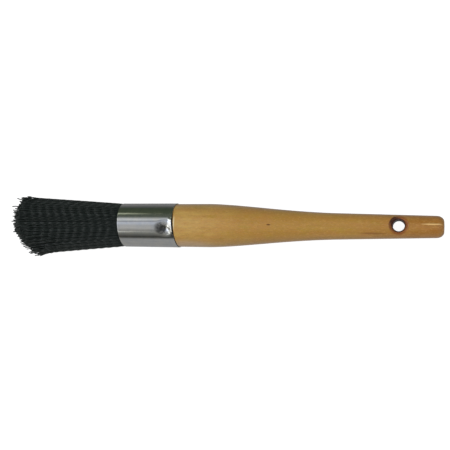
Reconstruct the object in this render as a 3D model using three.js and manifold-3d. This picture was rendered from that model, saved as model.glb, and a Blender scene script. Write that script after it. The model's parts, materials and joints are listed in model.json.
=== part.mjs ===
// Round stencil brush lying on a table: a turned hardwood handle, a drawn metal ferrule crimped
// onto the handle's spigot, a set plug of resin, and a round tuft of crimped bristle.
//
// Millimetres, +Z up. The brush is built along its own axis, X, with 0 at the joint between ferrule
// and handle and +X towards the tail, and is then laid on the table, Z = 0.
import * as THREE from "three";
import { mergeVertices } from "three/addons/utils/BufferGeometryUtils.js";
import Module from "manifold-3d";

// Ferrule: a 1 inch tube
const FERRULE_RADIUS = 12.7;
const FERRULE_WALL = 0.4;
const FERRULE_LENGTH = 33.2;
const FERRULE_BORE = FERRULE_RADIUS - FERRULE_WALL;

// Two opposed punch marks lock the ferrule to the spigot
const DIMPLE_FROM_EDGE = 4.6;
const DIMPLE_RADIUS = 4;
const DIMPLE_DEPTH = 1.1;
const DIMPLE_TURN = THREE.MathUtils.degToRad(13); // from straight up, towards -Y

// Handle
const HANDLE_RADIUS = 12.35;
const HANDLE_LENGTH = 146.4;
const SHOULDER_CHAMFER = 0.5;
const TAPER_START = 17.4;
const TAPER_END = 91.3;
const TAPER_END_RADIUS = 7.2;
const TAPER_START_PULL = 18; // how far each end of the ogee holds its own direction
const TAPER_END_PULL = 29.3;
const TAPER_STEPS = 18;
const TAIL_SLOPE = 0.026; // radius lost per millimetre behind the ogee
const TAIL_ROUND_LENGTH = 3.8;
const TAIL_FACE_RADIUS = 2.8;
const TAIL_ROUND_STEPS = 5;

// Spigot, the part of the handle that is inside the ferrule
const GAP = 0.3;
const SPIGOT_LENGTH = 20;
const SPIGOT_RADIUS = FERRULE_BORE - GAP;
const SPIGOT_CHAMFER = 1;

// Hanging hole, drilled across the tail a little off its middle and countersunk from both sides
const HOLE_FROM_TAIL = 23.1;
const HOLE_OFFSET_Y = 0.3;
const HOLE_RADIUS = 3.1;
const COUNTERSINK_START = 4.35; // height above the axis where the hole begins to widen
const CUTTER_REACH = 9;

// Resin plug
const RESIN_LENGTH = 8.5;

// Tuft: a flared cone of bristle, trimmed by a dome that sits a little off the axis
const TUFT_HEEL_RADIUS = FERRULE_BORE - GAP;
const TUFT_MOUTH_RADIUS = 12.4;
const FLARE_X = -95.4; // where the cone is widest and the dome begins
const FLARE_RADIUS = 17.5;
const CONE_END = -110; // past the dome, which trims it
const DOME_RADIUS = 20.5;
const DOME_OFFSET_Y = 3;
const DOME_STEPS = 12;
const DOME_CENTRE_X = FLARE_X + Math.sqrt(DOME_RADIUS ** 2 - DOME_OFFSET_Y ** 2 - FLARE_RADIUS ** 2);
const TUFT_PRESS = 0.4; // how far the table flattens the bristle that lies on it
const REST_RADIUS = FLARE_RADIUS - TUFT_PRESS;

const ROUND_SEGMENTS = 48;
const RING_STEP = 1;
const MERGE_DISTANCE = 1e-4;
const TABLE_SIZE = 400;

const wasm = await Module();
wasm.setup();

// A body of revolution about X from a profile of [x, radius] points that runs towards +X outside.
function turned(profile) {
  const points = profile.map(([x, radius]) => new THREE.Vector2(radius, x));
  const geometry = new THREE.LatheGeometry(points, ROUND_SEGMENTS);
  return geometry.rotateZ(-Math.PI / 2);
}

// Points from one x to another at one radius, RING_STEP apart.
function rings(fromX, toX, radius) {
  const steps = Math.round((toX - fromX) / RING_STEP);
  const at = (i) => [fromX + ((toX - fromX) * i) / steps, radius];
  return Array.from({ length: steps + 1 }, (_, i) => at(i));
}

function solid(geometry) {
  const bare = geometry.clone();
  bare.deleteAttribute("normal");
  bare.deleteAttribute("uv");
  const merged = mergeVertices(bare, MERGE_DISTANCE);
  const vertProperties = new Float32Array(merged.attributes.position.array);
  const triVerts = new Uint32Array(merged.index.array);
  return new wasm.Manifold(new wasm.Mesh({ numProp: 3, vertProperties, triVerts }));
}

function geometryOf(manifold) {
  const { vertProperties, triVerts } = manifold.getMesh();
  const geometry = new THREE.BufferGeometry();
  geometry.setAttribute("position", new THREE.BufferAttribute(vertProperties, 3));
  geometry.setIndex(new THREE.BufferAttribute(triVerts, 1));
  geometry.computeVertexNormals();
  return geometry;
}

// How far the punch marks push a point of a tube inwards.
function dimpleDepth(x, y, z) {
  const turn = Math.atan2(-y, z);
  const halfTurns = Math.round((turn - DIMPLE_TURN) / Math.PI);
  const around = FERRULE_RADIUS * (turn - DIMPLE_TURN - halfTurns * Math.PI);
  const distance = Math.hypot(x + DIMPLE_FROM_EDGE, around) / DIMPLE_RADIUS;
  return distance < 1 ? DIMPLE_DEPTH * (1 - distance ** 2) ** 2 : 0;
}

// Punches ferrule and spigot alike, so that the clearance between them stays the same.
function punched(geometry) {
  const position = geometry.attributes.position;
  const point = new THREE.Vector3();
  for (let i = 0; i < position.count; i += 1) {
    point.fromBufferAttribute(position, i);
    const radius = Math.hypot(point.y, point.z);
    if (radius > SPIGOT_RADIUS - GAP && point.x < 0) {
      const keep = 1 - dimpleDepth(point.x, point.y, point.z) / radius;
      position.setXYZ(i, point.x, point.y * keep, point.z * keep);
    }
  }
  geometry.computeVertexNormals();
  return geometry;
}

// The ogee from the full body to the tail, as [x, radius] points.
function taperProfile() {
  const curve = new THREE.CubicBezierCurve(
    new THREE.Vector2(TAPER_START, HANDLE_RADIUS),
    new THREE.Vector2(TAPER_START + TAPER_START_PULL, HANDLE_RADIUS),
    new THREE.Vector2(TAPER_END - TAPER_END_PULL, TAPER_END_RADIUS + TAIL_SLOPE * TAPER_END_PULL),
    new THREE.Vector2(TAPER_END, TAPER_END_RADIUS),
  );
  return curve.getPoints(TAPER_STEPS).map((point) => [point.x, point.y]);
}

function tailRadius(x) {
  return TAPER_END_RADIUS - TAIL_SLOPE * (x - TAPER_END);
}

// The rounded corner of the tail, a quarter ellipse that ends at the flat end face.
function tailCornerProfile() {
  const start = HANDLE_LENGTH - TAIL_ROUND_LENGTH;
  const corner = new THREE.EllipseCurve(
    start,
    TAIL_FACE_RADIUS,
    TAIL_ROUND_LENGTH,
    tailRadius(start) - TAIL_FACE_RADIUS,
    Math.PI / 2,
    0,
    true,
  );
  return corner.getPoints(TAIL_ROUND_STEPS).map((point) => [point.x, point.y]);
}

// The handle outside the ferrule, as [x, radius] points.
function exposedHandleProfile() {
  return [
    [GAP + SHOULDER_CHAMFER, HANDLE_RADIUS],
    ...taperProfile(),
    [(TAPER_END + HANDLE_LENGTH) / 2, tailRadius((TAPER_END + HANDLE_LENGTH) / 2)],
    ...tailCornerProfile(),
    [HANDLE_LENGTH, 0],
  ];
}

function holeCutter() {
  const mouth = HOLE_RADIUS + CUTTER_REACH - COUNTERSINK_START;
  const profile = [
    [-CUTTER_REACH, 0],
    [-CUTTER_REACH, mouth],
    [-COUNTERSINK_START, HOLE_RADIUS],
    [COUNTERSINK_START, HOLE_RADIUS],
    [CUTTER_REACH, mouth],
    [CUTTER_REACH, 0],
  ];
  const cutter = turned(profile).rotateY(-Math.PI / 2);
  return cutter.translate(HANDLE_LENGTH - HOLE_FROM_TAIL, HOLE_OFFSET_Y, 0);
}

function handleGeometry() {
  const profile = [
    [-SPIGOT_LENGTH, 0],
    [-SPIGOT_LENGTH, SPIGOT_RADIUS - SPIGOT_CHAMFER],
    [-SPIGOT_LENGTH + SPIGOT_CHAMFER, SPIGOT_RADIUS],
    ...rings(-2 * DIMPLE_FROM_EDGE, 0, SPIGOT_RADIUS),
    [GAP, SPIGOT_RADIUS],
    ...exposedHandleProfile(),
  ];
  const blank = punched(turned(profile));
  return geometryOf(solid(blank).subtract(solid(holeCutter())));
}

function ferruleGeometry() {
  const outside = [
    [-FERRULE_LENGTH, FERRULE_RADIUS],
    ...rings(-2 * DIMPLE_FROM_EDGE, 0, FERRULE_RADIUS),
  ];
  const bore = outside.map(([x]) => [x, FERRULE_BORE]).reverse();
  return punched(turned([...outside, ...bore, outside[0]]));
}

function resinGeometry() {
  const front = -SPIGOT_LENGTH - GAP - RESIN_LENGTH;
  const back = -SPIGOT_LENGTH - GAP;
  return turned([
    [front, 0],
    [front, SPIGOT_RADIUS],
    [back, SPIGOT_RADIUS],
    [back, 0],
  ]);
}

function tuftConeProfile() {
  const heel = -SPIGOT_LENGTH - RESIN_LENGTH - 2 * GAP;
  const mouth = -FERRULE_LENGTH - 1;
  const flare = (FLARE_RADIUS - TUFT_MOUTH_RADIUS) / (mouth - FLARE_X);
  return [
    [CONE_END, 0],
    [CONE_END, FLARE_RADIUS + flare * (FLARE_X - CONE_END)],
    [mouth, TUFT_MOUTH_RADIUS],
    [-FERRULE_LENGTH, TUFT_HEEL_RADIUS],
    [heel, TUFT_HEEL_RADIUS],
    [heel, 0],
  ];
}

// The shears' path: a dome ahead of a cylinder that is wider than the tuft.
function trimEnvelope() {
  const dome = new THREE.EllipseCurve(
    DOME_CENTRE_X,
    0,
    DOME_RADIUS,
    DOME_RADIUS,
    Math.PI,
    Math.PI / 2,
    true,
  );
  const profile = dome.getPoints(DOME_STEPS).map((point) => [point.x, point.y]);
  const envelope = turned([...profile, [0, DOME_RADIUS], [0, 0]]);
  return envelope.translate(0, DOME_OFFSET_Y, 0);
}

// The brush lies on its flare and on the belly of its handle, so its axis falls towards the tail.
function angleOfLie() {
  const slopes = exposedHandleProfile().map(([x, radius]) => (REST_RADIUS - radius) / (x - FLARE_X));
  return Math.atan(Math.min(...slopes));
}

// The table top, as a slab under the brush, in the brush's own axes.
function tableSlab(lieAngle) {
  const axisHeight = REST_RADIUS * Math.cos(lieAngle) + FLARE_X * Math.sin(lieAngle);
  const slab = new THREE.BoxGeometry(TABLE_SIZE, TABLE_SIZE, TABLE_SIZE);
  return slab.translate(0, 0, -axisHeight - TABLE_SIZE / 2).rotateY(-lieAngle);
}

function tuftGeometry(lieAngle) {
  const trimmed = solid(turned(tuftConeProfile())).intersect(solid(trimEnvelope()));
  return geometryOf(trimmed.subtract(solid(tableSlab(lieAngle))));
}

function piece(name, geometry, color, roughness, metalness) {
  const material = new THREE.MeshStandardMaterial({ color, roughness, metalness });
  const mesh = new THREE.Mesh(geometry, material);
  mesh.name = name;
  return mesh;
}

const lieAngle = angleOfLie();
const brush = new THREE.Group();
brush.add(piece("handle", handleGeometry(), 0xb99355, 0.35, 0));
brush.add(piece("ferrule", ferruleGeometry(), 0xc9cbcc, 0.22, 1));
brush.add(piece("resin_plug", resinGeometry(), 0x8a7346, 0.4, 0));
brush.add(piece("bristle_tuft", tuftGeometry(lieAngle), 0x1f2322, 0.6, 0));
brush.rotation.y = lieAngle;

// The origin is under the middle of the brush, on the table.
const laid = new THREE.Group();
laid.add(brush);
laid.updateMatrixWorld(true);
const box = new THREE.Box3().setFromObject(laid, true);
const middle = box.getCenter(new THREE.Vector3());
brush.position.set(-middle.x, -middle.y, -box.min.z);

export default laid;
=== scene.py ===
"""Looks of the round stencil brush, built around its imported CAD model.

Sizes in this script are millimetres in the brush's own axes: X runs along the brush from the joint
of ferrule and handle towards the tail, Y is level and Z is up. BRUSH takes them to the row frame.
"""

import json
import math

import bmesh
import bpy
import numpy as np
from mathutils import Matrix, Vector


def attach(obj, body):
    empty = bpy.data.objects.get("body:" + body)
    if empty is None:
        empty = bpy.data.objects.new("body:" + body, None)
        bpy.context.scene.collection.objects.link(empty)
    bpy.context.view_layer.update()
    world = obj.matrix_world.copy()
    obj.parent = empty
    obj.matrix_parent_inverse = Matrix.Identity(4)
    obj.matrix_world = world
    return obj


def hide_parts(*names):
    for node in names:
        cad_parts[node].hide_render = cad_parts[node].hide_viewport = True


MM = 0.001

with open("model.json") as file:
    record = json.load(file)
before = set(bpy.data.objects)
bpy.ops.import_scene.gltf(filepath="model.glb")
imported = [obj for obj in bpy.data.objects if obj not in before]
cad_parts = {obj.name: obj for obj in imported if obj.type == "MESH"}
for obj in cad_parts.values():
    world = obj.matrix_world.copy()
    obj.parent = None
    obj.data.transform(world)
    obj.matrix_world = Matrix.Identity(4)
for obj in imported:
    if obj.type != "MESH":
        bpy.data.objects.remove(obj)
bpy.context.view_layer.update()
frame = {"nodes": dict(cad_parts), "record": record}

# Handle
HANDLE_RADIUS = 12.35
HANDLE_LENGTH = 146.4
TAPER_START = 17.4
TAPER_END = 91.3
TAPER_END_RADIUS = 7.2
TAPER_START_PULL = 18.0
TAPER_END_PULL = 29.3
TAIL_SLOPE = 0.026
TAIL_ROUND_LENGTH = 3.8
TAIL_FACE_RADIUS = 2.8
SHOULDER_ROUND = 0.4
SPIGOT_RADIUS = 12.0
SPIGOT_LENGTH = 20.0
SPIGOT_FINE_LENGTH = 10.0  # the stretch with close rings, where the punch marks reach it
SPIGOT_RING_STEP = 0.5
GAP = 0.06

# Hanging hole
HOLE_X = 123.3
HOLE_Y = 0.3
HOLE_RADIUS = 3.1
COUNTERSINK_START = 4.35  # height above the axis where the bore begins to widen
HOLE_EDGE_ROUND = 0.35
PATCH_HALF_LENGTH = 7.4  # the stretch of handle whose mesh runs in loops round the hole
PATCH_HALF_STEPS = 24
PATCH_LOOPS = 6
RIM_SEARCH_STEPS = 30

# Ferrule
FERRULE_WALL = 0.4
DIMPLE_X = -4.0
DIMPLE_HALF_WIDTH = 6.0
DIMPLE_REACH_BACK = 7.8  # how far it fades out towards the tuft
DIMPLE_REACH_FRONT = 5.6
DIMPLE_DEPTH = 1.2
DIMPLE_STEEPNESS = 2.6  # a higher power keeps the slope nearer the middle
PIT_SIZE = 0.22  # a sharper pit in the middle of the dimple, as a share of the dimple's size
PIT_SHARE = 0.38  # and of its depth
DIMPLE_TURN = math.radians(14.5)
RIM_PULL = 0.4  # how far the punch drew the ferrule's rim back from the shoulder
RIM_LIFT = 0.45  # and how far it bent the rim outwards
RIM_REACH = 2.6
RIM_HALF_WIDTH = 4.8
RIM_SHARPNESS = 6  # the power by which the bend ends at its sides
RIM_TURN = math.radians(8)
SKEW = -0.06  # how far the ferrule and the shoulder are out of square, as a slope
SKEW_FADE = (1.0, 11.0)
FERRULE_EDGE_ROUND = 0.12
FERRULE_RING_STEP = 1.0
DIMPLE_RING_STEP = 0.25
RING_MARGIN = 0.6
BROAD_RIPPLE = 0.012  # how far the drawn tube is off a true circle
NARROW_RIPPLE = 0.006

# Tuft
FILAMENTS = 1160
FILAMENT_RADIUS = 0.3
THICKNESS_VARIETY = (0.9, 1.08)
OUTER_SIDES = 6
INNER_SIDES = 5
CRIMP_PITCH = 5.0
CRIMP_HEIGHT = 0.24
CRIMP_VARIETY = (0.5, 1.2)
CRIMP_START = -1.5  # where the crimps begin to grow, millimetres beyond the mouth
CRIMP_GROWTH = 8.0  # and over how long
CRIMP_LEAST = 0.1
CRIMP_DRIFT = 3.4  # how many half turns the crimps of one clump are ahead of another's
CRIMP_SCATTER = 0.75  # random phase, in radians
SWING_SCATTER = 0.45  # how far the crimps turn from the vertical, in radians
RINGS_PER_CRIMP = 8
HIDDEN_RING_STEP = 3.1
HIDDEN_RING_GAP = 1.5
FINE_CRIMPS = 3.2  # how many crimps at the tip of an inner filament have all their rings
HEEL_DEPTH = 4.0  # how far behind the ferrule's mouth the filaments begin
HEEL_RADIUS = 11.98
MOUTH_BULGE = 0.35
FLARE = 0.0835  # radius gained per millimetre beyond the mouth
TUFT_SPAN = 56.0  # distance from the mouth at which the tuft's droop is given
TUFT_DROOP = 0.85
TIP_SPREAD = 0.9  # how far the outermost tips bend outwards
TIP_LENGTH = 9.0  # the stretch of a filament that bends away at its tip
TIP_BEND = 1.6  # the power by which it does
CLUMP_SPREAD = 1.1  # how far the tips of a clump bend together
TIP_SCATTER = 0.25
LEAN_SCATTER = 0.5
OUTER_LEAN = 0.4  # the outside filaments lean this much of it
PLACE_SCATTER = 0.12  # in steps of the lattice
OUTSIDE_DEPTH = 0.8  # the share of the tuft's radius beyond which a filament can be seen
CLUMP_MISS = 1.1  # how unevenly the shears cut one clump and another
TRIM_SCATTER = 0.4
STRAY_SHARE = 0.12
STRAY_LENGTH = (0.4, 1.6)
OUTER_STRAY = 1.6  # how many times as long a stray is on the outside
LONGEST_FILAMENT = 90.0
TRIM_STATIONS = 451
DOME_CENTRE = (-85.4, 2.2, 0.0)
DOME_RADIUS = 18.1
DOME_FRONT = 6.0  # how far behind the dome's centre its shears still cut
DOME_MISS = 12.0  # how much longer, per unit of the disc, the shears left the -Y edge
DOME_MISS_START = 0.78
TABLE_CLEARANCE = 0.02

SEED = 11
HANDLE_SEGMENTS = 128
FERRULE_SEGMENTS = 256


# ---------------------------------------------------------------- placement


def brush_matrix():
    """Takes a point from the brush's own axes to the row frame, in metres."""
    tail = next(m for m in frame["record"]["mounts"] if m["name"] == "tail_end")
    along = Vector(tail["axis"]).normalized()
    level = Vector((0, 1, 0))
    axes = Matrix((along, level, along.cross(level))).transposed().to_4x4()
    joint = Vector(tail["pos_m"]) - along * HANDLE_LENGTH * MM
    return Matrix.Translation(joint) @ axes


BRUSH = brush_matrix()
TO_ROW = BRUSH @ Matrix.Scale(MM, 4)


def ferrule_size():
    """Length and outer radius of the CAD ferrule, in millimetres."""
    to_brush = TO_ROW.inverted()
    points = [to_brush @ v.co for v in frame["nodes"]["ferrule"].data.vertices]
    length = max(p.x for p in points) - min(p.x for p in points)
    return length, max(math.hypot(p.y, p.z) for p in points)


FERRULE_LENGTH, FERRULE_RADIUS = ferrule_size()
MOUTH_X = -FERRULE_LENGTH


# ---------------------------------------------------------------- mesh helpers


def add_piece(name, points, faces, material, slot, *replaced):
    """A smooth mesh from brush-frame points in millimetres, riding on the only body."""
    mesh = bpy.data.meshes.new(name)
    mesh.from_pydata(points, [], faces)
    place = mesh.attributes.new("brush_mm", "FLOAT_VECTOR", "POINT")
    place.data.foreach_set("vector", np.asarray(points, np.float32).ravel())
    mesh.transform(TO_ROW)
    mesh.shade_smooth()
    mesh.materials.append(material)
    piece = bpy.data.objects.new(name, mesh)
    bpy.context.scene.collection.objects.link(piece)
    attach(piece, "root")
    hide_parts(*replaced)
    return piece


def ring_points(x, radius, segments):
    """One ring round the X axis. It starts on top, at +Z, and turns towards +Y."""
    turn = np.arange(segments) * 2 * math.pi / segments
    return np.stack([np.full(segments, x), radius * np.sin(turn), radius * np.cos(turn)], 1)


def band_faces(rows, segments):
    """Quads between neighbouring rings, ring after ring, facing away from the axis."""
    faces = []
    for row in range(rows - 1):
        near, far = row * segments, (row + 1) * segments
        for column in range(segments):
            after = (column + 1) % segments
            faces.append((near + column, far + column, far + after, near + after))
    return faces


def loop_faces(loops):
    """Quads between each closed loop of point numbers and the next."""
    faces = []
    for outer, inner in zip(loops, loops[1:]):
        for i in range(len(outer)):
            j = (i + 1) % len(outer)
            faces.append((outer[i], outer[j], inner[j], inner[i]))
    return faces


def face_outwards(piece):
    """Turns every face of a closed mesh to look out of it."""
    work = bmesh.new()
    work.from_mesh(piece.data)
    bmesh.ops.recalc_face_normals(work, faces=work.faces)
    work.to_mesh(piece.data)
    work.free()


def polar(ring):
    """Radius of a ring's points, and their turn from the top towards -Y."""
    return np.hypot(ring[:, 1], ring[:, 2]), np.arctan2(-ring[:, 1], ring[:, 2])


def quarter(x0, r0, x1, r1, steps, bulge_first):
    """Points of a quarter ellipse between two profile points, without the first one."""
    points = []
    for i in range(1, steps + 1):
        t = math.pi / 2 * i / steps
        fast, slow = math.sin(t), 1 - math.cos(t)
        a, b = (slow, fast) if bulge_first else (fast, slow)
        points.append((x0 + (x1 - x0) * a, r0 + (r1 - r0) * b))
    return points


# ---------------------------------------------------------------- handle


def taper_table():
    """The ogee's Bezier curve, sampled as arrays of x and radius."""
    t = np.linspace(0, 1, 400)
    slope_end = TAPER_END_RADIUS + TAIL_SLOPE * TAPER_END_PULL
    xs = [TAPER_START, TAPER_START + TAPER_START_PULL, TAPER_END - TAPER_END_PULL, TAPER_END]
    rs = [HANDLE_RADIUS, HANDLE_RADIUS, slope_end, TAPER_END_RADIUS]
    weights = [(1 - t) ** 3, 3 * (1 - t) ** 2 * t, 3 * (1 - t) * t**2, t**3]
    return sum(w * x for w, x in zip(weights, xs)), sum(w * r for w, r in zip(weights, rs))


TAPER_XS, TAPER_RS = taper_table()


def handle_radius(x):
    """Radius of the handle's outside at a distance from the joint."""
    if x <= TAPER_START:
        return HANDLE_RADIUS
    if x >= TAPER_END:
        return TAPER_END_RADIUS - TAIL_SLOPE * (x - TAPER_END)
    return float(np.interp(x, TAPER_XS, TAPER_RS))


def arc_from(turn, middle):
    """Distance round the ferrule from the nearer of two places opposite each other."""
    return FERRULE_RADIUS * ((turn - middle + math.pi / 2) % math.pi - math.pi / 2)


def dimple_depth(x, turn):
    """How far the two punch marks push the metal in, at a place on the ferrule."""
    along = (x - DIMPLE_X) / np.where(x < DIMPLE_X, DIMPLE_REACH_BACK, DIMPLE_REACH_FRONT)
    distance = np.hypot(along, arc_from(turn, DIMPLE_TURN) / DIMPLE_HALF_WIDTH)
    bowl = np.clip(1 - distance**2, 0, None) ** DIMPLE_STEEPNESS
    pit = np.exp(-((distance / PIT_SIZE) ** 2))
    return DIMPLE_DEPTH * ((1 - PIT_SHARE) * bowl + PIT_SHARE * pit)


def punch(ring):
    """Moves a ring of tube points in where the punch marks are."""
    radius, turn = polar(ring)
    keep = 1 - dimple_depth(ring[:, 0], turn) / radius
    return ring * np.stack([np.ones_like(keep), keep, keep], 1)


def askew(ring):
    """Slants a ring the way that the ferrule sits on the handle, fading out along the handle."""
    start, end = SKEW_FADE
    share = np.clip((end - ring[:, 0]) / (end - start), 0, 1)
    return ring + (SKEW * ring[:, 1] * share)[:, None] * np.array([1.0, 0.0, 0.0])


def bend_rim(ring):
    """Draws the ferrule's rim back and lifts it where the punch marks are."""
    radius, turn = polar(ring)
    nearness = np.exp(-((arc_from(turn, RIM_TURN) / RIM_HALF_WIDTH) ** RIM_SHARPNESS))
    share = nearness * np.clip(1 + ring[:, 0] / RIM_REACH, 0, 1)
    lifted = 1 + RIM_LIFT * share / radius
    return np.stack([ring[:, 0] - RIM_PULL * share, ring[:, 1] * lifted, ring[:, 2] * lifted], 1)


def handle_profile():
    """(x, radius) stations from the spigot's end to the rim of the tail's flat face."""
    spigot = [(-SPIGOT_LENGTH, SPIGOT_RADIUS - 1)]
    spigot += quarter(*spigot[0], -SPIGOT_LENGTH + 1, SPIGOT_RADIUS, 3, False)
    fine = np.arange(-SPIGOT_FINE_LENGTH, SPIGOT_RING_STEP / 2, SPIGOT_RING_STEP)
    spigot += [(x, SPIGOT_RADIUS) for x in (*fine, GAP)]
    shoulder = quarter(GAP, SPIGOT_RADIUS, GAP + SHOULDER_ROUND, HANDLE_RADIUS, 5, True)
    patch = (HOLE_X - PATCH_HALF_LENGTH, HOLE_X + PATCH_HALF_LENGTH)
    corner = HANDLE_LENGTH - TAIL_ROUND_LENGTH
    body = np.concatenate([
        np.linspace(GAP + SHOULDER_ROUND, TAPER_START, 16)[1:-1],
        np.linspace(TAPER_START, patch[0], 84)[:-1],
        np.linspace(*patch, 25),
        np.linspace(patch[1], corner, 9)[1:],
    ])
    outside = [(x, handle_radius(x)) for x in body]
    rounding = quarter(*outside[-1], HANDLE_LENGTH, TAIL_FACE_RADIUS, 12, False)
    return spigot + shoulder + outside + rounding


def surface_point(x, turn):
    """A place on the handle's outer surface. The turn is from the top towards +Y."""
    radius = handle_radius(x)
    return (x, radius * math.sin(turn), radius * math.cos(turn))


def rim_radius(angle):
    """How far from the hole's axis its 45 degree countersink meets the outside, in one direction."""
    reach = HOLE_RADIUS + 1
    for _ in range(RIM_SEARCH_STEPS):
        height = hole_point(angle, reach)[2]
        reach += 0.5 * (HOLE_RADIUS + height - COUNTERSINK_START - reach)
    return reach


def hole_point(angle, reach, z=None):
    """A place at some distance from the hole's axis, on the outer surface or at a given height."""
    x = HOLE_X + reach * math.cos(angle)
    y = HOLE_Y + reach * math.sin(angle)
    return (x, y, math.sqrt(handle_radius(x) ** 2 - y**2) if z is None else z)


def rounded(start, corner, end, steps):
    """A short curve that takes the place of a sharp corner."""
    curve = []
    for i in range(steps + 1):
        t = i / steps
        weights = np.array(((1 - t) ** 2, 2 * t * (1 - t), t**2))
        curve.append(tuple(weights @ np.array((start, corner, end))))
    return curve


def cone_point(angle, reach):
    """A place on the hole's 45 degree countersink."""
    return hole_point(angle, reach, COUNTERSINK_START + reach - HOLE_RADIUS)


def countersink_points(angle):
    """From the outer surface over the rim, down the countersink and into the straight bore."""
    rim = rim_radius(angle)
    soft = HOLE_EDGE_ROUND
    outer = hole_point(angle, rim + soft)
    below = hole_point(angle, HOLE_RADIUS, COUNTERSINK_START - soft)
    upper = rounded(outer, hole_point(angle, rim), cone_point(angle, rim - soft), 5)
    middle = [cone_point(angle, (rim + HOLE_RADIUS) / 2)]
    lower = rounded(cone_point(angle, HOLE_RADIUS + soft), cone_point(angle, HOLE_RADIUS), below, 4)
    return upper + middle + lower


def patch_strand(x, turn):
    """One line of points from a place on the top patch's edge to the middle of the bore."""
    half_turn = PATCH_HALF_STEPS * 2 * math.pi / HANDLE_SEGMENTS
    angle = math.atan2(turn / half_turn, (x - HOLE_X) / PATCH_HALF_LENGTH)
    lip = countersink_points(angle)
    end_x = lip[0][0]
    end_turn = math.asin(lip[0][1] / handle_radius(end_x))
    strand = []
    for i in range(1, PATCH_LOOPS):
        t = i / PATCH_LOOPS
        strand.append(surface_point(x + (end_x - x) * t, turn + (end_turn - turn) * t))
    bore = [hole_point(angle, HOLE_RADIUS, COUNTERSINK_START * share) for share in (0.6, 0.2)]
    return strand + lip + bore


def patch_edge(first_row, last_row):
    """(row, steps from the top) round the edge of the patch, once round."""
    rows = range(first_row, last_row)
    columns = range(-PATCH_HALF_STEPS, PATCH_HALF_STEPS)
    edge = [(row, -PATCH_HALF_STEPS) for row in rows]
    edge += [(last_row, column) for column in columns]
    edge += [(row + 1, PATCH_HALF_STEPS) for row in reversed(rows)]
    edge += [(first_row, column + 1) for column in reversed(columns)]
    return edge


def patch_rows(xs):
    """The first and the last ring of the stretch that the hanging hole goes through."""
    ends = (HOLE_X - PATCH_HALF_LENGTH, HOLE_X + PATCH_HALF_LENGTH)
    return [int(np.argmin(np.abs(np.array(xs) - end))) for end in ends]


def in_patch(face_number, first_row, last_row):
    """Whether one of the handle's quads makes way for a patch, on top or underneath."""
    row, column = divmod(face_number, HANDLE_SEGMENTS)
    middle = column + 0.5
    from_top = min(middle, HANDLE_SEGMENTS - middle)
    from_bottom = HANDLE_SEGMENTS / 2 - from_top
    return first_row <= row < last_row and min(from_top, from_bottom) < PATCH_HALF_STEPS


def add_hole_loops(points, xs, edge, side):
    """Adds a patch's loops of points, from its edge into the bore. Side is 1 on top and -1 below."""
    half = HANDLE_SEGMENTS // 2
    columns = [(c if side > 0 else half - c) % HANDLE_SEGMENTS for _, c in edge]
    loops = [[row * HANDLE_SEGMENTS + c for (row, _), c in zip(edge, columns)]]
    strands = [patch_strand(xs[row], c * 2 * math.pi / HANDLE_SEGMENTS) for row, c in edge]
    for level in zip(*strands):
        loops.append(range(len(points), len(points) + len(level)))
        points += [(x, y, side * z) for x, y, z in level]
    return loops


def close_end(points, faces, x, radius, rim):
    """Fills a flat end of the handle with narrower rings and one small face in the middle."""
    loops = [rim]
    for share in (0.7, 0.4, 0.12):
        loops.append(range(len(points), len(points) + HANDLE_SEGMENTS))
        points += ring_points(x, radius * share, HANDLE_SEGMENTS).tolist()
    faces += loop_faces(loops)
    faces.append(tuple(loops[-1]))


def build_handle(material):
    """The turned handle as one closed mesh, with the hanging hole through its tail."""
    profile = handle_profile()
    points = []
    for x, radius in profile:
        ring = ring_points(x, radius, HANDLE_SEGMENTS)
        points += (askew(punch(ring)) if x < SKEW_FADE[1] else ring).tolist()
    xs = [x for x, _ in profile]
    first, last = patch_rows(xs)
    quads = band_faces(len(profile), HANDLE_SEGMENTS)
    faces = [quad for i, quad in enumerate(quads) if not in_patch(i, first, last)]
    edge = patch_edge(first, last)
    top = add_hole_loops(points, xs, edge, 1)
    bottom = add_hole_loops(points, xs, edge, -1)
    faces += loop_faces(top + bottom[::-1])
    tail_rim = (len(profile) - 1) * HANDLE_SEGMENTS
    close_end(points, faces, *profile[0], range(HANDLE_SEGMENTS))
    close_end(points, faces, *profile[-1], range(tail_rim, tail_rim + HANDLE_SEGMENTS))
    piece = add_piece("handle_turned", points, faces, material, "lacquered_wood", "handle")
    face_outwards(piece)


# ---------------------------------------------------------------- ferrule


def ferrule_profile():
    """A closed (x, radius) outline of the tube's wall, with softened edges."""
    soft = FERRULE_EDGE_ROUND
    inner = FERRULE_RADIUS - FERRULE_WALL
    start = DIMPLE_X - DIMPLE_REACH_BACK - RING_MARGIN
    fine = np.arange(start, -soft - 0.6 * DIMPLE_RING_STEP, DIMPLE_RING_STEP)
    coarse = np.arange(MOUTH_X + RING_MARGIN, start - 0.5 * FERRULE_RING_STEP, FERRULE_RING_STEP)
    xs = (*coarse, *fine)
    outside = [(MOUTH_X + soft, FERRULE_RADIUS), *((x, FERRULE_RADIUS) for x in xs)]
    outside.append((-soft, FERRULE_RADIUS))
    tail_edge = quarter(-soft, FERRULE_RADIUS, 0, FERRULE_RADIUS - soft, 4, False)
    inside = [(x, inner) for x, _ in reversed(outside)]
    mouth_edge = quarter(MOUTH_X, FERRULE_RADIUS - soft, MOUTH_X + soft, FERRULE_RADIUS, 4, True)
    lower = [(0, inner + soft), *inside, (MOUTH_X, inner + soft), (MOUTH_X, FERRULE_RADIUS - soft)]
    return outside + tail_edge + lower + mouth_edge[:-1]


def out_of_round(ring):
    """How far the drawn tube swells or shrinks at a ring's points."""
    x = ring[0, 0]
    turn = np.arctan2(ring[:, 1], ring[:, 2])
    broad = BROAD_RIPPLE * np.sin(3 * turn + 0.4 + 0.05 * x)
    return broad + NARROW_RIPPLE * np.sin(7 * turn - 0.11 * x)


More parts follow.
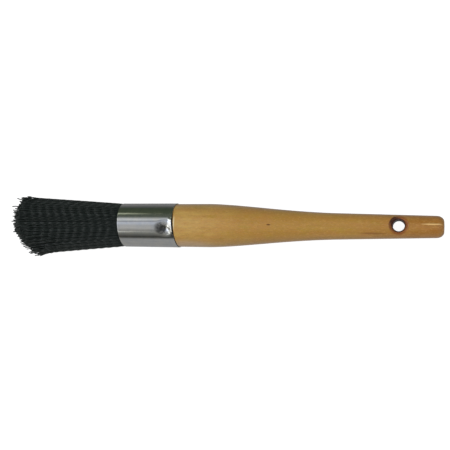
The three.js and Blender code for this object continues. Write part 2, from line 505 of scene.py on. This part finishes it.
def build_ferrule(material):
    """The punched steel tube as one closed mesh."""
    rings = []
    profile = ferrule_profile()
    for x, radius in profile:
        ring = ring_points(x, radius, FERRULE_SEGMENTS)
        ring[:, 1:] *= (1 + out_of_round(ring) / radius)[:, None]
        rings.append(askew(bend_rim(punch(ring))))
    points = np.concatenate(rings)
    around = band_faces(len(profile) + 1, FERRULE_SEGMENTS)
    faces = [tuple(i % len(points) for i in face) for face in around]
    piece = add_piece("ferrule_tube", points, faces, material, "plated_steel", "ferrule")
    face_outwards(piece)


# ---------------------------------------------------------------- bristle


def hex_points(count):
    """About count points of an even triangular lattice inside the unit disc, and its pitch."""
    pitch = math.sqrt(2 * math.pi / math.sqrt(3) / count)
    steps = int(1 / pitch) + 2
    points = []
    for row in range(-steps, steps + 1):
        for column in range(-steps, steps + 1):
            x = (column + 0.5 * (row % 2)) * pitch
            y = row * pitch * math.sqrt(3) / 2
            if math.hypot(x, y) <= 1:
                points.append((x, y))
    return np.array(points), pitch


def tuft_radius(s):
    """Radius of the outermost filament centres, s millimetres beyond the ferrule's mouth."""
    beyond = np.clip(s, 0, None)
    return HEEL_RADIUS + MOUTH_BULGE * (1 - np.exp(-beyond)) + FLARE * beyond


def path_points(s, y0, z0, lean_y, lean_z):
    """A filament's line without its crimp. y0 and z0 are its place in the unit disc."""
    radius = tuft_radius(s)
    far = np.clip(s, 0, None) / TUFT_SPAN
    droop = -TUFT_DROOP * far**1.2
    y = y0 * radius + lean_y * far**1.3 + droop
    z = z0 * radius + lean_z * far**1.3
    return np.stack([MOUTH_X - s, y, z], 1)


def smooth_field(rng, busyness):
    """A smooth random field over the disc, so that neighbouring filaments are alike."""
    waves = rng.normal(0, busyness, (5, 2))
    shifts = rng.uniform(0, 2 * math.pi, 5)

    def field(y0, z0):
        return float(np.mean(np.sin(waves @ np.array([y0, z0]) + shifts)))

    return field


def trim_length(y0, z0, lean, extra):
    """How far a filament runs before the dome's shears cut it."""
    s = np.linspace(0, LONGEST_FILAMENT, TRIM_STATIONS)
    points = path_points(s, y0, z0, *lean)
    distance = np.linalg.norm(points - np.array(DOME_CENTRE), axis=1)
    beyond = (distance > DOME_RADIUS + extra) & (points[:, 0] < DOME_CENTRE[0] + DOME_FRONT)
    return float(s[np.argmax(beyond)]) if beyond.any() else float(s[-1])


def filament_stations(length, outside):
    """Distances from the mouth at which a filament has a ring of points."""
    step = CRIMP_PITCH / RINGS_PER_CRIMP
    start = -HEEL_DEPTH if outside else length - FINE_CRIMPS * CRIMP_PITCH
    s = np.linspace(start, length, max(6, round((length - start) / step)))
    if not outside:
        hidden = np.arange(-HEEL_DEPTH, start - HIDDEN_RING_GAP, HIDDEN_RING_STEP)
        s = np.concatenate([hidden, s])
    return s


def tube(centre, sides, radius, turn):
    """Points and faces of a closed tube along a line that runs roughly along X."""
    tangent = np.gradient(centre, axis=0)
    tangent /= np.linalg.norm(tangent, axis=1)[:, None]
    first = np.cross(tangent, (0, math.sin(turn), math.cos(turn)))
    first /= np.linalg.norm(first, axis=1)[:, None]
    second = np.cross(tangent, first)
    angle = np.arange(sides) * 2 * math.pi / sides
    ring = np.cos(angle)[:, None] * first[:, None] + np.sin(angle)[:, None] * second[:, None]
    points = (centre[:, None] + radius * ring).reshape(-1, 3)
    row = np.arange(len(centre) - 1)[:, None] * sides
    column = np.arange(sides)
    after = (column + 1) % sides
    quads = np.stack([row + column, row + after, row + sides + after, row + sides + column], -1)
    end = (len(centre) - 1) * sides
    caps = [tuple(range(sides))[::-1], tuple(range(end, end + sides))]
    return points, [tuple(quad) for quad in quads.reshape(-1, 4).tolist()] + caps


def extra_length(rng, field, y0, z0, outside):
    """How far past the dome a filament was left: by clumps, at random, as a stray, and at -Y."""
    extra = CLUMP_MISS * field(y0, z0) + rng.normal(0, TRIM_SCATTER)
    stray = rng.random() < STRAY_SHARE
    extra += stray * rng.uniform(*STRAY_LENGTH) * (OUTER_STRAY if outside else 1)
    return extra + DOME_MISS * max(-y0 - DOME_MISS_START, 0)


def tip_bend(rng, fields, y0, z0, depth, from_tip):
    """How far a filament bends away sideways near its tip."""
    bend = np.clip(1 - from_tip / TIP_LENGTH, 0, None) ** TIP_BEND
    gathered = CLUMP_SPREAD * np.array([fields[0](y0, z0), fields[1](y0, z0)])
    outward = TIP_SPREAD * depth**3 * np.array([y0, z0])
    return bend[:, None] * (gathered + outward + rng.normal(0, TIP_SCATTER, 2))


def build_filament(rng, fields, y0, z0, pitch):
    """One crimped filament: its points, its faces and whether it is on the outside."""
    y0 += rng.normal(0, PLACE_SCATTER) * pitch
    z0 += rng.normal(0, PLACE_SCATTER) * pitch
    depth = math.hypot(y0, z0)
    outside = depth > OUTSIDE_DEPTH
    y0, z0 = y0 / max(depth, 1), z0 / max(depth, 1)
    lean = rng.normal(0, LEAN_SCATTER, 2) * (OUTER_LEAN if outside else 1)
    length = trim_length(y0, z0, lean, extra_length(rng, fields[1], y0, z0, outside))
    s = filament_stations(length, outside)
    centre = path_points(s, y0, z0, *lean)
    phase = CRIMP_DRIFT * fields[0](y0, z0) * math.pi + rng.normal(0, CRIMP_SCATTER)
    swing = math.pi / 2 + rng.normal(0, SWING_SCATTER)
    centre[:, 1:] += tip_bend(rng, fields[2:], y0, z0, depth, length - s)
    growth = np.clip((s - CRIMP_START) / CRIMP_GROWTH, CRIMP_LEAST, 1)
    height = CRIMP_HEIGHT * rng.uniform(*CRIMP_VARIETY) * growth
    wave = height * np.sin(2 * math.pi * s / CRIMP_PITCH + phase)
    centre[:, 1] += wave * math.cos(swing)
    centre[:, 2] += wave * math.sin(swing)
    radius = FILAMENT_RADIUS * rng.uniform(*THICKNESS_VARIETY)
    sides = OUTER_SIDES if outside else INNER_SIDES
    points, faces = tube(centre, sides, radius, rng.uniform(0, math.pi))
    return points, faces, outside


def above_table(points):
    """Presses bristle that would go through the table up onto it, in the row frame's sense."""
    up = np.array(BRUSH.to_3x3().inverted() @ Vector((0, 0, 1)))
    height = points @ up + BRUSH.translation.z / MM
    lift = np.clip(TABLE_CLEARANCE - height, 0, None)
    return points + lift[:, None] * up


def joined(parts):
    """Several meshes' points and faces as one."""
    offset, points, faces = 0, [], []
    for part_points, part_faces in parts:
        points.append(part_points)
        faces += [tuple(i + offset for i in face) for face in part_faces]
        offset += len(part_points)
    return np.concatenate(points), faces


def build_tuft(material):
    """All the filaments, as one piece for each quarter of the tuft's outside and of its inside."""
    rng = np.random.default_rng(SEED)
    fields = [smooth_field(rng, busyness) for busyness in (2.2, 13.0, 13.0, 13.0)]
    lattice, pitch = hex_points(FILAMENTS)
    batches = {}
    for y0, z0 in lattice:
        points, faces, outside = build_filament(rng, fields, y0, z0, pitch)
        sector = int((math.atan2(z0, y0) + math.pi) / (2 * math.pi) * 4) % 4
        batches.setdefault((outside, sector), []).append((points, faces))
    for (outside, sector), filaments in sorted(batches.items()):
        points, faces = joined(filaments)
        name = f"bristle_{'outer' if outside else 'inner'}_{sector + 1}"
        add_piece(name, above_table(points), faces, material, "black_filament", "bristle_tuft")


# ---------------------------------------------------------------- materials


class Nodes:
    """A node tree under construction: short calls that make nodes and return output sockets."""

    def __init__(self, tree):
        self.tree = tree

    def node(self, kind, inputs=(), **settings):
        """Makes a node. An input goes by its name or number, and is a socket or a plain value."""
        made = self.tree.nodes.new(kind)
        for key, value in settings.items():
            setattr(made, key, value)
        for key, value in dict(inputs).items():
            if isinstance(value, bpy.types.NodeSocket):
                self.tree.links.new(value, made.inputs[key])
            else:
                made.inputs[key].default_value = value
        return made

    def math(self, operation, a, b=0.0):
        return self.node("ShaderNodeMath", {0: a, 1: b}, operation=operation).outputs[0]

    def mix(self, share, a, b, blend="MIX"):
        inputs = {0: share, 6: a, 7: b}
        return self.node("ShaderNodeMix", inputs, data_type="RGBA", blend_type=blend).outputs[2]

    def ramp(self, value, low, high, stops):
        """A colour ramp over a range of values. A stop's tone is a colour or a plain number."""
        inputs = {"Value": value, "From Min": low, "From Max": high}
        share = self.node("ShaderNodeMapRange", inputs).outputs[0]
        made = self.node("ShaderNodeValToRGB", {0: share})
        elements = made.color_ramp.elements
        while len(elements) < len(stops):
            elements.new(1.0)
        for element, (place, tone) in zip(elements, stops):
            element.position = (place - low) / (high - low)
            element.color = (*np.broadcast_to(tone, 3), 1)
        return made.outputs["Color"]


class Shader(Nodes):
    """A material's nodes. Its patterns are laid out in the brush's own millimetres."""

    def __init__(self, name):
        self.material = bpy.data.materials.new(name)
        self.material.use_nodes = True
        super().__init__(self.material.node_tree)
        self.surface = self.tree.nodes["Principled BSDF"]

    def set(self, values):
        """Sets the surface's own sockets."""
        for name, value in values.items():
            self.surface.inputs[name].default_value = value

    def link(self, socket, name):
        """Leads a pattern to one of the surface's sockets."""
        self.tree.links.new(socket, self.surface.inputs[name])

    def place(self, scale=(1, 1, 1), offset=(0, 0, 0)):
        """Brush-frame millimetres, moved and then scaled."""
        source = self.node("ShaderNodeAttribute", attribute_name="brush_mm").outputs["Vector"]
        moved = self.node("ShaderNodeVectorMath", {0: source, 1: offset}, operation="ADD").outputs[0]
        inputs = {0: moved, 1: scale}
        return self.node("ShaderNodeVectorMath", inputs, operation="MULTIPLY").outputs[0]

    def noise(self, vector, scale=1.0, detail=3.0, roughness=0.55):
        """A cloudy pattern round 0.5."""
        inputs = {"Vector": vector, "Scale": scale, "Detail": detail, "Roughness": roughness}
        return self.node("ShaderNodeTexNoise", inputs).outputs["Fac"]

    def span(self, value, low, high, to_low=0.0, to_high=1.0):
        """A smooth step from one number to another as a value goes from low to high."""
        inputs = {"Value": value, "From Min": low, "From Max": high}
        inputs |= {"To Min": to_low, "To Max": to_high}
        return self.node("ShaderNodeMapRange", inputs, interpolation_type="SMOOTHSTEP").outputs[0]

    def length(self, vector):
        return self.node("ShaderNodeVectorMath", {0: vector}, operation="LENGTH").outputs["Value"]

    def blob(self, centre, size):
        """1 at a point on the brush, falling to 0 on an ellipsoid round it."""
        scale = tuple(1 / s for s in size)
        return self.span(self.length(self.place(scale, tuple(-c for c in centre))), 1.0, 0.35)

    def bump(self, height, distance, strength):
        inputs = {"Height": height, "Distance": distance, "Strength": strength}
        return self.node("ShaderNodeBump", inputs).outputs["Normal"]


def colour(red, green, blue):
    """An sRGB colour of 0 to 255 as a linear one."""
    linear = [c / 255 / 12.92 if c <= 10 else ((c / 255 + 0.055) / 1.055) ** 2.4
              for c in (red, green, blue)]
    return (*linear, 1.0)


# Marks in the wood, and places of painted highlights and a painted reflection, on the brush
KNOT = (54.5, -0.3, 9.6)
# Place of a painted highlight on the tail's top
TAIL_HIGHLIGHT = (140.4, 0.8, 5.8)
DARK_STREAK = (110.0, -4.2, 5.2)
# Place of a painted highlight on the shoulder's rounded edge
SHOULDER_HIGHLIGHT = (0.85, 0.5, 12.3)
# Place of a painted reflection on the handle's underside by the shoulder
SHOULDER_REFLECTION = (8.0, -11.5, 4.0)
CRUMPLE_HEIGHT = 20.0  # how many times as high the dent's crumples are as the metal's own waves


def mottled(m):
    """Lacquered beech from afar: paler at the ferrule, darker at the tail, in soft patches."""
    x = m.node("ShaderNodeSeparateXYZ", {0: m.place()}).outputs["X"]
    body = m.mix(m.span(x, 10, 50), colour(230, 188, 106), colour(208, 159, 78))
    body = m.mix(m.span(x, 95, 135), body, colour(186, 124, 55))
    patches = m.noise(m.place((0.12, 0.3, 0.3), (3, 0, 0)), detail=2.0)
    body = m.mix(m.span(patches, 0.35, 0.65, 0.0, 0.5), body, colour(214, 152, 84))
    olive = m.noise(m.place((0.1, 0.25, 0.25), (40, 0, 5)), detail=2.0)
    body = m.mix(m.span(olive, 0.5, 0.7, 0.0, 0.5), body, colour(196, 160, 66))
    broad = m.noise(m.place((0.05, 0.14, 0.14)))
    return m.mix(m.span(broad, 0.35, 0.7, 0.0, 0.35), body, colour(196, 146, 66))


def grained(m, body, fibre, flecks):
    """Soft year rings, fine fibres, pale grit and short dark flecks."""
    rings = m.noise(m.place((0.012, 0.5, 0.22), (0, 9, 4)), roughness=0.6)
    body = m.mix(m.span(rings, 0.42, 0.66, 0.0, 0.18), body, colour(178, 126, 56))
    body = m.mix(m.span(fibre, 0.4, 0.68, 0.0, 0.35), body, colour(168, 118, 52))
    grit = m.noise(m.place((0.8, 1.3, 1.3)), detail=2.0)
    body = m.mix(m.span(grit, 0.5, 0.75, 0.0, 0.45), body, colour(232, 186, 108))
    return m.mix(m.span(flecks, 0.6, 0.76, 0.0, 0.35), body, colour(140, 92, 40))


def marked(m, body):
    """A small knot, a pale painted highlight along the tail's top and a faint dark streak before the
    hanging hole.
    """
    body = m.mix(m.blob(KNOT, (1.5, 0.5, 1.6)), body, colour(104, 52, 22))
    # painted highlight: a pale streak along the top of the tail
    body = m.mix(m.blob(TAIL_HIGHLIGHT, (7.4, 0.5, 1.8)), body, colour(255, 212, 140))
    dark = m.math("MULTIPLY", m.blob(DARK_STREAK, (9.0, 0.8, 1.8)), 0.5)
    return m.mix(dark, body, colour(140, 78, 44))


def wood_material():
    """Clear-lacquered beech, stained where it was drilled and where the ferrule meets it, with
    painted shade and highlights.
    """
    m = Shader("lacquered_wood")
    fibre = m.noise(m.place((0.3, 2.8, 2.8)), roughness=0.6)
    flecks = m.noise(m.place((0.9, 4.4, 4.4)), detail=1.0)
    reach = hole_reach(m)
    body = marked(m, grained(m, mottled(m), fibre, flecks))
    m.link(shade_shoulder(m, stain_and_shade_round_hole(m, body, reach)), "Base Color")
    lacquer = m.span(fibre, 0.3, 0.7, 0.24, 0.34)
    m.link(m.math("MAXIMUM", lacquer, m.span(reach, 4.0, 3.5)), "Roughness")
    m.link(m.bump(m.math("ADD", fibre, flecks), 0.00003, 0.5), "Normal")
    m.set({"Sheen Weight": 0.3, "Sheen Roughness": 0.45})
    return m.material


def hole_reach(m):
    """Distance from the hanging hole's axis, a little uneven."""
    reach = m.length(m.place((1, 1, 0), (-HOLE_X, -HOLE_Y, 0)))
    wobble = m.noise(m.place(), 0.5, 2.0)
    return m.math("ADD", reach, m.math("MULTIPLY", m.math("SUBTRACT", wobble, 0.5), 0.9))


def stain_and_shade_round_hole(m, body, reach):
    """Darker lacquer pooled in the countersink, a painted shadow on one side of it, and painted shade
    in the bore.
    """
    body = m.mix(m.span(reach, 5.6, 4.5, 0.0, 0.85), body, colour(158, 90, 42))
    # painted shadow on the countersink's side towards the ferrule and +Y
    shade = m.blob((HOLE_X - 3.0, HOLE_Y + 3.0, 5.4), (4.4, 3.6, 3.2))
    sunk_shadow = m.math("MULTIPLY", shade, m.span(reach, 5.2, 4.8))
    body = m.mix(sunk_shadow, body, colour(84, 46, 24))
    # painted shade: the bore darkened to near black
    return m.mix(m.span(reach, 4.1, 3.5), body, colour(76, 36, 16))


def shade_shoulder(m, body):
    """Painted highlight and reflection at the shoulder, and dirt and painted shade in the joint,
    which slants as the ferrule does.
    """
    # painted highlight on the shoulder's edge
    body = m.mix(m.blob(SHOULDER_HIGHLIGHT, (0.5, 6.0, 1.6)), body, colour(250, 230, 180))
    # painted reflection: paler on the underside near the ferrule
    pale = m.math("MULTIPLY", m.blob(SHOULDER_REFLECTION, (18.0, 5.0, 7.0)), 0.5)
    body = m.mix(pale, body, colour(222, 190, 158))
    inputs = {0: m.place(), 1: (1, -SKEW, 0)}
    along = m.node("ShaderNodeVectorMath", inputs, operation="DOT_PRODUCT").outputs["Value"]
    y = m.node("ShaderNodeSeparateXYZ", {0: m.place()}).outputs["Y"]
    # dirt and painted shade in the gap under the ferrule's bent rim, fading out towards +Y
    dirt_and_shade = m.math("MULTIPLY", m.span(along, 0.38, 0.26), m.span(y, 7.5, 3.5))
    return m.mix(dirt_and_shade, body, colour(22, 14, 9))


def metal_material():
    """Bright plating over drawn steel, with faint draw lines, a cloudy polish and a crumpled dent."""
    m = Shader("plated_steel")
    drawn = m.noise(m.place((0.06, 3.5, 3.5)))
    cloud = m.noise(m.place((0.3, 0.3, 0.3)), detail=4.0)
    uneven = m.math("ADD", drawn, cloud)
    tint = m.mix(m.span(cloud, 0.35, 0.65), colour(206, 208, 210), colour(216, 215, 212))
    m.link(m.mix(m.span(drawn, 0.4, 0.7, 0.0, 0.4), tint, colour(186, 187, 188)), "Base Color")
    m.link(m.span(uneven, 0.7, 1.3, 0.07, 0.14), "Roughness")
    dent = m.blob((DIMPLE_X, -FERRULE_RADIUS * math.sin(DIMPLE_TURN), 12.0), (7.0, 5.5, 4.0))
    crumple = m.math("MULTIPLY", dent, m.noise(m.place((0.5, 0.9, 0.9)), detail=2.0))
    height = m.math("ADD", uneven, m.math("MULTIPLY", crumple, CRUMPLE_HEIGHT))
    m.link(m.bump(height, 0.00002, 0.4), "Normal")
    m.set({"Metallic": 1.0})
    return m.material


def filament_material():
    """Glossy black nylon, a little greyer on some filaments than on others."""
    m = Shader("black_filament")
    streak = m.noise(m.place((0.03, 1.3, 1.3)), detail=2.0)
    m.link(m.mix(streak, colour(21, 27, 25), colour(47, 55, 53)), "Base Color")
    m.link(m.span(m.noise(m.place(), 0.9), 0.3, 0.7, 0.3, 0.4), "Roughness")
    return m.material


def resin_material():
    """Cloudy amber resin."""
    m = Shader("resin")
    cloud = m.noise(m.place((0.4, 0.4, 0.4)), detail=4.0)
    m.link(m.mix(cloud, colour(120, 92, 48), colour(150, 118, 66)), "Base Color")
    m.link(m.span(cloud, 0.3, 0.7, 0.2, 0.35), "Roughness")
    return m.material


def paint_resin():
    """The resin plug is as the CAD made it, with a material."""
    materials = frame["nodes"]["resin_plug"].data.materials
    materials.clear()
    materials.append(resin_material())


# ---------------------------------------------------------------- stage


FLOOR_SIDE = 6.0
FLOOR_GLOW = 0.93


def add_floor():
    """A plain pale floor that only the camera sees. Its own glow keeps the brush's shadow faint."""
    half = FLOOR_SIDE / 2
    corners = [(-half, -half, 0), (half, -half, 0), (half, half, 0), (-half, half, 0)]
    mesh = bpy.data.meshes.new("floor")
    mesh.from_pydata(corners, [], [(0, 1, 2, 3)])
    floor = bpy.data.objects.new("floor", mesh)
    bpy.context.scene.collection.objects.link(floor)
    for ray in ("diffuse", "glossy", "transmission", "shadow"):
        setattr(floor, "visible_" + ray, False)
    m = Shader("pale_floor")
    m.set({"Base Color": (0.3, 0.3, 0.3, 1), "Roughness": 1, "Specular IOR Level": 0})
    m.set({"Emission Color": (1, 1, 1, 1), "Emission Strength": FLOOR_GLOW})
    mesh.materials.append(m.material)


# The studio as bands of light round the brush's axis: degrees from overhead towards +Y, and colour.
BANDS = [
    (-180, (0.40, 0.40, 0.40)),
    (-120, (0.43, 0.43, 0.42)),
    (-88, (0.46, 0.46, 0.45)),
    (-80, (0.36, 0.36, 0.35)),
    (-75, (0.14, 0.14, 0.13)),
    (-68, (0.06, 0.06, 0.05)),
    (-62, (0.13, 0.13, 0.12)),
    (-48, (0.28, 0.28, 0.25)),
    (-42, (0.42, 0.42, 0.39)),
    (-32, (0.38, 0.38, 0.36)),
    (-24, (0.62, 0.62, 0.61)),
    (-6, (0.60, 0.62, 0.64)),
    (2, (0.74, 0.79, 0.89)),
    (9, (0.74, 0.78, 0.86)),
    (14, (0.36, 0.38, 0.42)),
    (18, (0.72, 0.75, 0.77)),
    (25, (0.94, 0.96, 0.96)),
    (30, (0.58, 0.60, 0.58)),
    (38, (0.15, 0.17, 0.14)),
    (63, (0.09, 0.11, 0.07)),
    (92, (0.07, 0.09, 0.06)),
    (104, (0.13, 0.14, 0.13)),
    (122, (0.27, 0.27, 0.27)),
    (180, (0.33, 0.33, 0.33)),
]
# How bright the overhead part is along the brush: the direction's X component, and a factor.
FALLOFF = [
    (-1.0, 0.6),
    (-0.94, 0.7),
    (-0.86, 2.4),
    (-0.58, 2.4),
    (-0.52, 1.0),
    (-0.42, 0.86),
    (-0.29, 0.8),
    (-0.16, 0.26),
    (0.02, 0.08),
    (0.20, 0.10),
    (0.40, 1.0),
    (1.0, 1.0),
]
# Two thin lines of light that only show towards the tuft: degrees and colour, then X and share.
STREAKS = [
    (-44, (0.0, 0.0, 0.0)),
    (-40, (0.8, 0.8, 0.76)),
    (-36, (0.0, 0.0, 0.0)),
    (51, (0.0, 0.0, 0.0)),
    (56, (0.95, 1.0, 0.74)),
    (61, (0.0, 0.0, 0.0)),
]
STREAK_REACH = [(-0.375, 1.0), (-0.35, 0.0)]
# Which part is overhead: degrees, and a share. The rest is evenly bright along the brush.
OVERHEAD = [(-75, 0.0), (-55, 1.0), (55, 1.0), (75, 0.0)]
SIDE_BRIGHTNESS = 0.82


def studio_light(n):
    """The light from each direction: bands and streaks, and how strong they are along the brush."""
    directions = n.node("ShaderNodeTexCoord").outputs["Generated"]
    x, y, z = n.node("ShaderNodeSeparateXYZ", {0: directions}).outputs
    degrees = n.math("DEGREES", n.math("ARCTAN2", y, z))
    bands = n.ramp(degrees, -180, 180, BANDS)
    streaks = n.ramp(degrees, -180, 180, STREAKS)
    tone = n.mix(n.ramp(x, -1, 1, STREAK_REACH), bands, streaks, "ADD")
    peak = max(factor for _, factor in FALLOFF)
    along = n.ramp(x, -1, 1, [(place, factor / peak) for place, factor in FALLOFF])
    overhead = n.ramp(degrees, -180, 180, OVERHEAD)
    share = n.node("ShaderNodeMix", {0: overhead, 2: SIDE_BRIGHTNESS / peak, 3: along}).outputs[0]
    inputs = {"Color": tone, "Strength": n.math("MULTIPLY", share, peak)}
    return n.node("ShaderNodeBackground", inputs).outputs[0]


def build_world():
    """A soft studio that lights the brush. The camera sees a plain pale backdrop instead."""
    world = bpy.data.worlds.new("studio")
    bpy.context.scene.world = world
    bpy.context.scene.view_settings.view_transform = "Standard"
    world.use_nodes = True
    world.node_tree.nodes.clear()
    n = Nodes(world.node_tree)
    plain = n.node("ShaderNodeBackground", {"Color": (1, 1, 1, 1)}).outputs[0]
    seen = n.node("ShaderNodeLightPath").outputs["Is Camera Ray"]
    chosen = n.node("ShaderNodeMixShader", {0: seen, 1: studio_light(n), 2: plain}).outputs[0]
    n.node("ShaderNodeOutputWorld", {"Surface": chosen})


LAMP_PLACE = (0.2, 0.0, 1.5)
LAMP_SIZE = 2.0
LAMP_WATTS = 9.5


def add_lamp():
    """A broad soft box overhead. It brightens matte surfaces and leaves the reflections alone."""
    data = bpy.data.lights.new("soft_box", "AREA")
    data.size = LAMP_SIZE
    data.energy = LAMP_WATTS
    lamp = bpy.data.objects.new("soft_box", data)
    lamp.location = LAMP_PLACE
    lamp.visible_camera = False
    lamp.visible_glossy = False
    bpy.context.scene.collection.objects.link(lamp)


CAMERA_AIM = (27.5, 0.39, 0.0)
CAMERA_DISTANCE = 397.4
CAMERA_TO_TAIL = math.radians(15.03)  # how far the camera stands over towards the tail
CAMERA_TO_FRONT = math.radians(6.04)  # and towards -Y
CAMERA_ROLL = math.radians(0.34)
CAMERA_LENS = 56.0
CAMERA_SENSOR = 36.0


def add_camera():
    """The camera, placed from a point on the brush's axis that it looks at."""
    data = bpy.data.cameras.new("camera")
    data.lens = CAMERA_LENS
    data.sensor_width = CAMERA_SENSOR
    camera = bpy.data.objects.new("camera", data)
    bpy.context.scene.collection.objects.link(camera)
    back = Vector((math.tan(CAMERA_TO_TAIL), -math.tan(CAMERA_TO_FRONT), 1)).normalized()
    right = (Vector((1, 0, 0)) - back.x * back).normalized()
    axes = Matrix((right, back.cross(right), back)).transposed().to_4x4()
    spot = Matrix.Translation((Vector(CAMERA_AIM) + back * CAMERA_DISTANCE) * MM)
    camera.matrix_world = BRUSH @ spot @ axes @ Matrix.Rotation(CAMERA_ROLL, 4, "Z")
    bpy.context.scene.camera = camera


# ---------------------------------------------------------------- scene

add_camera()
build_world()
add_lamp()
add_floor()
build_handle(wood_material())
build_ferrule(metal_material())
build_tuft(filament_material())
paint_resin()
